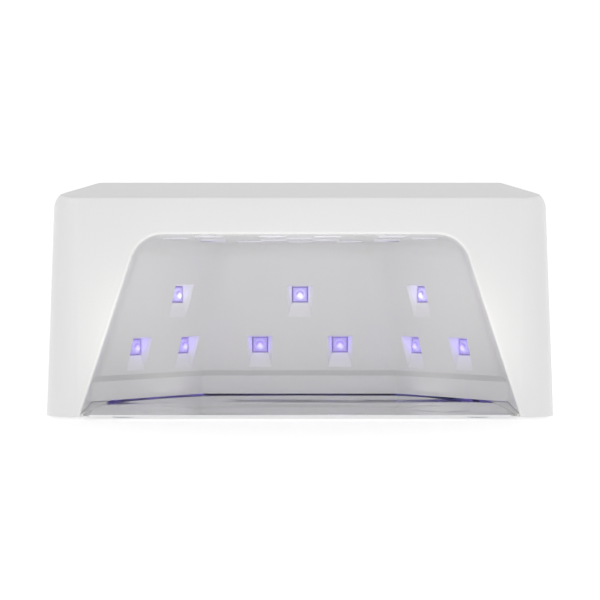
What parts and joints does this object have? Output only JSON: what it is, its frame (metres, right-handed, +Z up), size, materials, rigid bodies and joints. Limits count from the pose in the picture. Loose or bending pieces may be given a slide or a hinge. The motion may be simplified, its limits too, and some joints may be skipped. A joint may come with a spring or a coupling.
{
  "type": "uv led nail lamp",
  "caption": "Table-top nail curing lamp with a hipped white housing, a leaning LED reflector, roof controls and a slide-out steel plate.",
  "frame": {"origin": "middle of the footprint on the table, under the rubber feet", "axes": "+X to the right seen from the hand opening, -Y out of the hand opening, +Z up"},
  "size_m": [0.23, 0.19, 0.1077],
  "materials": {
    "housing_white": "satin",
    "reflector_white": "gloss",
    "frame_white": "matte",
    "polished_steel": "mirror polished",
    "clear_silicone": "satin",
    "magnet_nickel": "nickel plated",
    "foot_rubber": "matte",
    "screw_steel": "zinc plated",
    "led_frame": "gloss",
    "led_lens": "clear",
    "board_white": "satin solder mask",
    "sink_aluminium": "extruded",
    "sensor_dark": "gloss",
    "smoked_acrylic": "smoked",
    "module_black": "matte",
    "segment_white": "matte",
    "board_green": "solder mask",
    "fan_black": "satin",
    "component_dark": "satin",
    "pin_nickel": "nickel plated",
    "button_white": "satin",
    "plunger_black": "matte"
  },
  "bodies": {
    "lamp": {"housing": "housing_white", "reflector": "reflector_white", "base_frame": "frame_white", "plate_magnets": "magnet_nickel", "rubber_feet": "foot_rubber", "base_screws": "screw_steel", "board_screws": "screw_steel", "fan_screws": "screw_steel", "wall_leds": "led_frame", "ceiling_leds": "led_frame", "wall_lenses": "led_lens", "ceiling_lenses": "led_lens", "ceiling_board": "board_white", "rear_led_boards": "board_white", "left_led_boards": "board_white", "right_led_boards": "board_white", "heat_sink": "sink_aluminium", "hand_sensors": "sensor_dark", "display_window": "smoked_acrylic", "display_module": "module_black", "display_segments": "segment_white", "control_board": "board_green", "driver_board": "board_green", "button_switches": "module_black", "fan_frame": "fan_black", "driver_parts": "component_dark", "dc_jack": "module_black", "jack_pin": "pin_nickel"},
    "plate": {"base_plate": "polished_steel", "plate_pads": "clear_silicone"},
    "fan": {"fan_rotor": "fan_black"},
    "button_10s": {"button_10s": "button_white", "plunger_10s": "plunger_black"},
    "button_30s": {"button_30s": "button_white", "plunger_30s": "plunger_black"},
    "button_60s": {"button_60s": "button_white", "plunger_60s": "plunger_black"},
    "button_99s": {"button_99s": "button_white", "plunger_99s": "plunger_black"}
  },
  "joints": [
    {"name": "plate_slide", "type": "slide", "parent": "lamp", "child": "plate", "axis": [0, -1, 0], "range_m": [0, 0.15]},
    {"name": "fan_spin", "type": "hinge", "parent": "lamp", "child": "fan", "pos_m": [-0.038, 0.08, 0.047], "axis": [0, -1, 0], "continuous": true},
    {"name": "press_10s", "type": "slide", "parent": "lamp", "child": "button_10s", "axis": [0, 0, -1], "range_m": [0, 0.0006], "stiffness_N_per_m": 1500, "springref_m": -0.0002},
    {"name": "press_30s", "type": "slide", "parent": "lamp", "child": "button_30s", "axis": [0, 0, -1], "range_m": [0, 0.0006], "stiffness_N_per_m": 1500, "springref_m": -0.0002},
    {"name": "press_60s", "type": "slide", "parent": "lamp", "child": "button_60s", "axis": [0, 0, -1], "range_m": [0, 0.0006], "stiffness_N_per_m": 1500, "springref_m": -0.0002},
    {"name": "press_99s", "type": "slide", "parent": "lamp", "child": "button_99s", "axis": [0, 0, -1], "range_m": [0, 0.0006], "stiffness_N_per_m": 1500, "springref_m": -0.0002}
  ]
}
